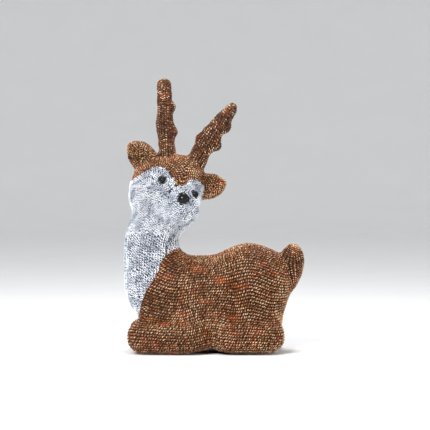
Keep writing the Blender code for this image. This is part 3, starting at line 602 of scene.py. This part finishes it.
def looped_thread():
    """Geometry Nodes: a thread wound in leaning loops along every row of points."""
    tree = bpy.data.node_groups.new("looped_thread", "GeometryNodeTree")
    face = tree.interface
    face.new_socket("Rows", in_out="INPUT", socket_type="NodeSocketGeometry")
    for name, value in BODY_LOOP.items():
        face.new_socket(name, in_out="INPUT", socket_type="NodeSocketFloat").default_value = value
    for name, value in (("Steps", LOOP_STEPS), ("Sides", THREAD_SIDES), ("Seed", 1)):
        face.new_socket(name, in_out="INPUT", socket_type="NodeSocketInt").default_value = value
    face.new_socket("Material", in_out="INPUT", socket_type="NodeSocketMaterial")
    face.new_socket("Thread", in_out="OUTPUT", socket_type="NodeSocketGeometry")
    graph = Graph(tree)
    given = graph.node("NodeGroupInput").socket.node
    size = {socket.name: Value(graph, socket) for socket in given.outputs}

    rows = graph.node("GeometryNodeMeshToCurve", {}, {"Mesh": size["Rows"]})
    rows = graph.node("GeometryNodeResampleCurve", {"mode": "LENGTH"},
                      {"Curve": rows, "Length": size["Pitch"] / size["Steps"]})
    place = graph.node("GeometryNodeInputPosition")
    way = graph.node("GeometryNodeInputTangent")
    out = graph.node("GeometryNodeInputNamedAttribute", {"data_type": "FLOAT_VECTOR"},
                     {"Name": "out"})
    length = graph.node("GeometryNodeSplineParameter", output="Length")
    wander = graph.node("ShaderNodeTexNoise", {"noise_dimensions": "4D"}, {
        "Vector": place, "W": size["Seed"], "Scale": 120.0, "Detail": 2.0})
    unruly = graph.node("ShaderNodeTexNoise", {"noise_dimensions": "4D"}, {
        "Vector": place, "W": size["Seed"] + 7.3, "Scale": 300.0, "Detail": 1.0})
    turn = length / size["Pitch"] * (2 * pi) + wander * size["Wander"]
    swing = graph.node("ShaderNodeMath", {"operation": "COSINE"}, {0: turn})
    rise = graph.node("ShaderNodeMath", {"operation": "SINE"}, {0: turn})
    room = unruly * 1.1 + 0.45
    across = graph.vector("NORMALIZE", graph.vector("CROSS_PRODUCT", way, out), (0, 0, 0))
    shift = None
    for direction, amount in ((across, swing * size["Half Width"] * room),
                              (out, rise * size["Half Height"] * room),
                              (way, rise * size["Lean"])):
        part = graph.node("ShaderNodeVectorMath", {"operation": "SCALE"},
                          {0: direction, "Scale": amount})
        shift = part if shift is None else graph.vector("ADD", shift, part)
    # The loop's height, kept for the thread finishes: painted highlight on each loop's top, painted
    # shade at its foot.
    rows = graph.node("GeometryNodeStoreNamedAttribute", {"data_type": "FLOAT"}, {
        "Geometry": rows, "Name": "crest", "Value": rise * 0.5 + 0.5})
    loops = graph.node("GeometryNodeSetPosition", {}, {"Geometry": rows, "Offset": shift})
    ring = graph.node("GeometryNodeCurvePrimitiveCircle", {}, {
        "Resolution": size["Sides"], "Radius": size["Thread Radius"]})
    thread = graph.node("GeometryNodeCurveToMesh", {}, {
        "Curve": loops, "Profile Curve": ring, "Fill Caps": True})
    thread = graph.node("GeometryNodeSetShadeSmooth", {}, {"Geometry": thread})
    thread = graph.node("GeometryNodeRealizeInstances", {}, {"Geometry": thread})
    thread = graph.node("GeometryNodeSetMaterial", {}, {
        "Geometry": thread, "Material": size["Material"]})
    graph.node("NodeGroupOutput", {}, {0: thread})
    return tree


def piece(name, mesh, material=None, body="body", nodes=()):
    """A finished piece on its body, standing for its nodes."""
    obj = bpy.data.objects.new(name, mesh)
    bpy.context.scene.collection.objects.link(obj)
    if material:
        mesh.materials.clear()
        mesh.materials.append(material)
    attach(obj, body)
    if nodes:
        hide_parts(*nodes)
    return obj


def wind(name, rows, sizes, material, nodes, seed):
    """Winds the thread of one piece and keeps it as a plain mesh."""
    mesh = bpy.data.meshes.new(name)
    mesh.from_pydata(rows.points, rows.edges, [])
    give(mesh, "out", rows.normals, "FLOAT_VECTOR")
    give(mesh, "glow", glow_at(rows.points))
    give(mesh, "edge", edge_at(rows.points, rows.normals))
    source = bpy.data.objects.new(name + "_rows", mesh)
    bpy.context.scene.collection.objects.link(source)
    winding = source.modifiers.new("winding", "NODES")
    winding.node_group = THREAD_TREE
    wanted = {**sizes, "Steps": LOOP_STEPS, "Sides": THREAD_SIDES, "Seed": seed,
              "Material": material}
    for socket in THREAD_TREE.interface.items_tree:
        if socket.name in wanted:
            winding[socket.identifier] = wanted[socket.name]
    baked = plain_mesh(source, name)
    bpy.data.objects.remove(source)
    return piece(name, baked, None, "body", nodes)


def film(name, skin, faces, material, nodes):
    """The backing behind the loops: these faces of the skin, sunk and given a thickness."""
    bm = bmesh.new()
    bm.from_mesh(skin.mesh)
    bm.faces.ensure_lookup_table()
    for vert, normal in zip(bm.verts, skin.normals):
        vert.co -= Vector(normal) * BACKING_SINK
    keep = set(faces)
    drop = [face for i, face in enumerate(bm.faces) if i not in keep]
    bmesh.ops.delete(bm, geom=drop, context="FACES")
    for face in bm.faces:
        face.smooth = True
    mesh = bpy.data.meshes.new(name)
    bm.to_mesh(mesh)
    bm.free()
    source = bpy.data.objects.new(name + "_film", mesh)
    bpy.context.scene.collection.objects.link(source)
    wall = source.modifiers.new("wall", "SOLIDIFY")
    wall.thickness, wall.offset = BACKING_WALL, -1
    baked = plain_mesh(source, name)
    bpy.data.objects.remove(source)
    give(baked, "glow", glow_at(read(baked.vertices, "co", 3)))
    return piece(name, baked, material, "body", nodes)


# --- scene ------------------------------------------------------------------------------------

for stray in list(bpy.data.objects):
    bpy.data.objects.remove(stray)
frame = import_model()
cad_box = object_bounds()
LAMPS = lamp_places()
THREAD_TREE = looped_thread()

BROWN_STOPS = [(0.26, (0.014, 0.004, 0.001)), (0.43, (0.090, 0.029, 0.006)),
               (0.59, (0.255, 0.098, 0.027)), (0.76, (0.780, 0.500, 0.330))]
ANTLER_STOPS = [(0.30, (0.008, 0.002, 0.001)), (0.50, (0.060, 0.018, 0.004)),
                (0.64, (0.200, 0.074, 0.020)), (0.76, (0.850, 0.620, 0.450))]
WHITE_STOPS = [(0.27, (0.050, 0.056, 0.075)), (0.41, (0.400, 0.430, 0.490)),
               (0.55, (0.780, 0.815, 0.870)), (0.80, (0.950, 0.970, 1.000))]
BROWN_TINTS = [(0.36, (1.0, 0.80, 0.62)), (0.50, (1.0, 1.0, 1.0)), (0.64, (0.86, 0.94, 0.82))]
WHITE_TINTS = [(0.40, (0.56, 0.58, 0.64)), (0.55, (1.0, 1.0, 1.0))]
ORANGE, COOL = (0.24, 0.030, 0.001), (0.07, 0.08, 0.09)
brown_thread = thread_finish("brown_thread", BROWN_STOPS, BROWN_TINTS, ORANGE, 0.16)
# Antler patches are stretched lengthwise: streaks of tone whose light ones are painted glints along
# the beams.
antler_thread = thread_finish("antler_thread", ANTLER_STOPS, BROWN_TINTS, ORANGE, 0.10,
                              (3, 3, 0.9))
white_thread = thread_finish("white_thread", WHITE_STOPS, WHITE_TINTS, COOL, 0.20)
# The films are dark: painted shade for the gaps between the loops, with lighter specks of their own
# tone.
brown_film = backing_finish("brown_film", (0.008, 0.003, 0.001), (0.110, 0.040, 0.012), ORANGE)
white_film = backing_finish("white_film", (0.020, 0.023, 0.030), (0.420, 0.450, 0.500), COOL)
FINISHES = {"brown": (brown_thread, brown_film, "brown_acrylic"),
            "antler": (antler_thread, brown_film, "brown_acrylic"),
            "white": (white_thread, white_film, "white_acrylic")}

# One skin over every shell and limb; the sockets and the case are closed by their own pieces.
skin = Skin([*SHELLS, *TRIM, *UNIT], SKIN_VOXEL)
shells = {name: Solid(name) for name in SHELLS}
trim = [Solid(name) for name in TRIM]
case_low, case_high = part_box("battery_case")
middle_y = (cad_box[0].y + cad_box[1].y) / 2


def in_case(point):
    return (point.y > case_low.y
            and case_low.x - CASE_MARGIN < point.x < case_high.x + CASE_MARGIN
            and case_low.z - CASE_MARGIN < point.z < case_high.z + CASE_HEADROOM)


def shell_at(point):
    return min(shells, key=lambda name: shells[name].distance(point))


owner = np.array([shell_at(Vector(p)) for p in skin.points])
loose = spread(np.where(np.isin(owner, LIMBS), LIMB_SHARE, 1.0), skin.edges, LIMB_BLEND)
skin.relax(SOCKET_ROUNDS, skin.near(TRIM, SOCKET_MARGIN))
skin.relax(SKIN_ROUNDS, loose)


def raised(members, size, height):
    """Lumps or folds over some of the shells, fading out at their edges."""
    wave = np.array([noise.noise(Vector([p[i] / size[i] for i in range(3)])) for p in skin.points])
    there = spread(np.isin(owner, members).astype(float), skin.edges, FADE_ROUNDS)
    return skin.normals * (wave * there * height)[:, None]


def hollow(x, z, wide, high, depth, members, share=1.0):
    """A soft hollow in some of the shells, or a lump where the depth is below zero."""
    off = (skin.points[:, [0, 2]] / MM - (x, z)) / (wide, high)
    push = -depth * MM * np.exp(-(off ** 2).sum(axis=1)) * np.isin(owner, members) * share
    return skin.normals * spread(push, skin.edges, SHAPE_ROUNDS)[:, None]


# A flank's shapes fade out where the skin turns away from the side.
sideways = np.abs(skin.normals[:, 1])
skin.points += (sum([hollow(*shape, FLANKS, sideways) for shape in FLANK_SHAPES]
                    + [hollow(*shape) for shape in SHAPES])
                + raised(ANTLERS, KNOB_SIZE, KNOB_HEIGHT)
                + raised(("throat_bib",), FOLD_SIZE, FOLD_HEIGHT))
skin.refresh()

x, y, z = skin.points.T
normal_x, normal_y, normal_z = skin.normals.T
middle = np.abs(y - middle_y) < START_HALF_WIDTH
under = (normal_z < GROUND_TURN) & (z < GROUND_TOP)
back = (normal_z > 0.2) & (x > BACK_START)
nape = (normal_x > TURNED) & (x < 0) & (z > NAPE_BASE)
ridge = middle & (x < RUMP_END) & (z < NAPE_TOP) & (back | nape)
front = middle & (normal_x < -TURNED) & (z < BIB_TOP)
from_ground, from_ridge = skin.travel(under), skin.travel(ridge)
from_trim = skin.travel(skin.near(TRIM, TRIM_START))


def one_row(across):
    """A field with a single row in it, where across is zero."""
    return FIRST_ROW + across


body_field = (BODY_ROWS + 2 * FIRST_ROW) * from_ground / (from_ground + from_ridge)
seam = one_row(y - middle_y)
fields = [((body_field, seam), FLANKS, BODY_LOOP),
          ((skin.travel(front) / BIB_ROW, seam), ("throat_bib",), BIB_LOOP),
          ((from_trim / FACE_ROW,), ("face_shell",), FACE_LOOP),
          ((from_trim / HEAD_ROW,), ("crown_shell",), FINE_LOOP)]


def across_limb(mine):
    """How far each point is to one side of the limb's long middle line."""
    flat = skin.points[:, [0, 2]] - skin.points[mine][:, [0, 2]].mean(axis=0)
    return flat @ np.linalg.svd(flat[mine], full_matrices=False)[2][1]


for name in LIMBS:
    low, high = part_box(name)
    mine = owner == name
    if "ear" in name:
        centre = np.array((low + high) / 2)
        away = np.linalg.norm((skin.points - centre)[:, [0, 2]], axis=1)
        bowl = mine & (normal_y < BOWL_TURN) & (away < BOWL_RADIUS)
        found = (skin.travel(bowl) / LIMB_ROW,)
    else:
        across = across_limb(mine)
        spine = mine & (np.abs(across) < START_HALF_WIDTH)
        facing, behind = (skin.travel(spine & (side * normal_y > TURNED)) for side in (-1, 1))
        count = round(float(np.median((facing + behind)[mine])) / LIMB_ROW)
        found = ((count + 2 * FIRST_ROW) * facing / (facing + behind), one_row(across))
    fields.append((found, (name,), FINE_LOOP))
seed = 1
for drawn, members, sizes in fields:
    def label(point, members=members):
        name = shell_at(point)
        if name not in members or in_case(point):
            return None
        return None if any(s.depth(point) < TRIM_CLEARANCE for s in trim) else name

    wanted = np.isin(owner, members)
    reach = spread(wanted.astype(float), skin.edges, REACH_ROUNDS) > 0
    smooth = [spread(field, skin.edges, FIELD_ROUNDS) for field in drawn]
    rows_by_name = lay_rows(skin, smooth, reach, label)
    for name, rows in sorted(rows_by_name.items()):
        thread, _, slot = FINISHES[SHELLS[name]]
        wind(name + "_thread", rows, sizes, thread, (name,), seed)
        seed += 1

face_names = []
for polygon in skin.mesh.polygons:
    centre = polygon.center
    face_names.append(None if in_case(centre) else owner[polygon.vertices[0]])
for name, tint in SHELLS.items():
    faces = [i for i, holder in enumerate(face_names) if holder == name]
    film(name + "_film", skin, faces, FINISHES[tint][1], (name,))


# --- moulded eyes and nose --------------------------------------------------------------------

BLACK_GLOSS = moulded_finish("black_gloss", (0.001, 0.001, 0.001), (0.004, 0.004, 0.005), 0.05,
                             0.003 * MM, 0.22)
for name in TRIM:
    button = Skin([name], BUTTON_VOXEL)
    button.relax(BUTTON_ROUNDS)
    for polygon in button.mesh.polygons:
        polygon.use_smooth = True
    piece(name + "_moulded", button.mesh, BLACK_GLOSS, "body", (name,))

# --- battery unit -----------------------------------------------------------------------------

CASE_PLASTIC = moulded_finish("case_plastic", (0.018, 0.012, 0.009), (0.040, 0.028, 0.020),
                              0.42)


def softened(name, node, body, material, bars=()):
    """The node's own shape with rounded edges, and with raised bars on it."""
    bm = bmesh.new()
    bm.from_mesh(frame["nodes"][node].data)
    bmesh.ops.remove_doubles(bm, verts=bm.verts, dist=0.001 * MM)
    bmesh.ops.dissolve_limit(bm, angle_limit=radians(1), verts=bm.verts, edges=bm.edges)
    sharp = [edge for edge in bm.edges
             if len(edge.link_faces) == 2 and edge.calc_face_angle() > SHARP]
    bmesh.ops.bevel(bm, geom=sharp, offset=EDGE_WIDTH, segments=2, profile=0.6, affect="EDGES",
                    clamp_overlap=True)
    for low, high in bars:
        cube = bmesh.ops.create_cube(bm, size=1)["verts"]
        for vert in cube:
            vert.co = [low[i] + (high[i] - low[i]) * (vert.co[i] + 0.5) for i in range(3)]
        edges = dict.fromkeys(edge for vert in cube for edge in vert.link_edges)
        bmesh.ops.bevel(bm, geom=list(edges), offset=RIB_EDGE, segments=2, profile=0.5,
                        affect="EDGES", clamp_overlap=True)
    mesh = bpy.data.meshes.new(name)
    bm.to_mesh(mesh)
    bm.free()
    piece(name, mesh, material, body, (node,))


def bar(x, z, width, height, face_y, rise=RIB_RISE):
    """Low and high corners of a bar that stands out of a face towards +Y."""
    return ((x - width / 2, face_y - RIB_ROOT, z - height / 2),
            (x + width / 2, face_y + rise, z + height / 2))


door_low, door_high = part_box("battery_door")
door_face, door_x = door_high.y - TAB_RISE, (door_low.x + door_high.x) / 2
ribs = [bar(door_x, door_low.z + (12 + 3 * i) * MM, 26 * MM, 1.2 * MM, door_face)
        for i in range(4)]
ribs += [bar(door_x + side * 27 * MM, (door_low.z + door_high.z) / 2, 1.4 * MM, 38 * MM, door_face)
         for side in (-1, 1)]
softened("battery_door_ribbed", "battery_door", "door", CASE_PLASTIC, ribs)

slider_low, slider_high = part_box("switch_slider")
slider_x, slider_z = ((slider_low[i] + slider_high[i]) / 2 for i in (0, 2))
ridges = [bar(slider_x, slider_z + step * 1.7 * MM, 5.5 * MM, 0.8 * MM, slider_high.y, 0.5 * MM)
          for step in (-1, 0, 1)]
softened("switch_slider_ridged", "switch_slider", "switch", BLACK_GLOSS, ridges)

softened("battery_case_rounded", "battery_case", "body", CASE_PLASTIC)

# --- everything else keeps its shape ----------------------------------------------------------

STEEL = ((0.42, 0.43, 0.45), (0.74, 0.75, 0.77))
REST = {
    "washer_steel": metal_finish("pressed_steel", *STEEL, 0.22, (1, 1, 8)),
    "frame_wire": metal_finish("drawn_wire", (0.50, 0.50, 0.48), (0.78, 0.78, 0.74), 0.28,
                               (8, 8, 1)),
    "led_wire": moulded_finish("green_sleeve", (0.010, 0.045, 0.018), (0.02, 0.085, 0.035), 0.35),
    "case_plastic": CASE_PLASTIC,
    "seal_rubber": moulded_finish("seal_rubber", (0.010, 0.010, 0.010), (0.022, 0.021, 0.020), 0.7),
    "battery_wrap": moulded_finish("battery_wrap", (0.25, 0.25, 0.27), (0.36, 0.36, 0.38), 0.22),
    "contact_metal": metal_finish("nickel_contact", (0.60, 0.58, 0.52), (0.86, 0.84, 0.78), 0.18,
                                  (8, 1, 1)),
    "board": moulded_finish("solder_mask", (0.010, 0.070, 0.025), (0.02, 0.13, 0.05), 0.3),
    "switch_metal": metal_finish("switch_shell", *STEEL, 0.25, (1, 8, 1)),
    "led_lens": moulded_finish("lamp_lens", (0.85, 0.60, 0.30), (1.0, 0.80, 0.50), 0.1),
}
for node in frame["nodes"].values():
    if node.hide_render:
        continue
    for held in node.material_slots:
        wanted = held.material.name.split(".")[0]
        held.material = REST.get(wanted, held.material)


# --- stage ------------------------------------------------------------------------------------

def backdrop():
    """A pale round floor that curves up all round, far enough away to have no edge."""
    reach, bend, height, sides = 7.0, 2.5, 4.5, 48
    arc = [pi / 2 * i / 12 for i in range(13)]
    profile = [(0.01, 0.0), (1.0, 0.0),
               *((reach - bend + bend * sin(a), bend - bend * cos(a)) for a in arc),
               (reach, height)]
    turns = [2 * pi * i / sides for i in range(sides)]
    points = [(r * cos(a), r * sin(a), z - FLOOR_DROP) for r, z in profile for a in turns]
    faces = [(k * sides + i, k * sides + (i + 1) % sides, (k + 1) * sides + (i + 1) % sides,
              (k + 1) * sides + i) for k in range(len(profile) - 1) for i in range(sides)]
    faces.append(tuple(range(sides)))
    mesh = bpy.data.meshes.new("backdrop")
    mesh.from_pydata(points, [], faces)
    mesh.shade_smooth()
    sweep = bpy.data.objects.new("backdrop", mesh)
    bpy.context.scene.collection.objects.link(sweep)
    paper = Finish("paper")
    mesh.materials.append(paper.surface(
        Base_Color=paper.mix(paper.noise(6, 2), (0.72, 0.72, 0.72), (0.76, 0.76, 0.76)),
        Roughness=0.9))


def surroundings():
    world = bpy.data.worlds.new("studio")
    bpy.context.scene.world = world
    world.use_nodes = True
    air = world.node_tree.nodes["Background"]
    air.inputs["Color"].default_value = (0.96, 0.98, 1.0, 1)
    air.inputs["Strength"].default_value = 0.85


def softbox(name, place, size, power, color=(1, 1, 1), aim=(0, 0, 0.2)):
    light = bpy.data.lights.new(name, "AREA")
    light.shape, light.size, light.size_y = "RECTANGLE", *size
    light.energy, light.color = power, color
    obj = bpy.data.objects.new(name, light)
    bpy.context.scene.collection.objects.link(obj)
    obj.location = place
    obj.rotation_euler = (Vector(aim) - Vector(place)).to_track_quat("-Z", "Y").to_euler()


def camera(target, distance, width, elevation):
    data = bpy.data.cameras.new("camera")
    data.sensor_width = 36
    data.lens = data.sensor_width * distance / width
    data.clip_end = 50
    obj = bpy.data.objects.new("camera", data)
    bpy.context.scene.collection.objects.link(obj)
    tilt = radians(elevation)
    back = Vector((0, -cos(tilt), sin(tilt)))
    obj.location = Vector(target) + back * distance
    obj.rotation_euler = (-back).to_track_quat("-Z", "Y").to_euler()
    bpy.context.scene.camera = obj


backdrop()
surroundings()
bpy.context.scene.view_settings.view_transform = "Standard"
softbox("key", (-1.0, -1.7, 1.5), (0.5, 0.5), 44)
softbox("fill", (1.6, -1.5, 0.7), (0.7, 0.7), 11, (1, 0.96, 0.92))
softbox("top", (0.1, 0.1, 2.0), (0.6, 0.6), 24)
softbox("spark", (-0.5, -1.9, 1.3), (0.25, 0.25), 26)
camera((0.0009, 0.0, 0.238), 3.4, 0.7525, 2)
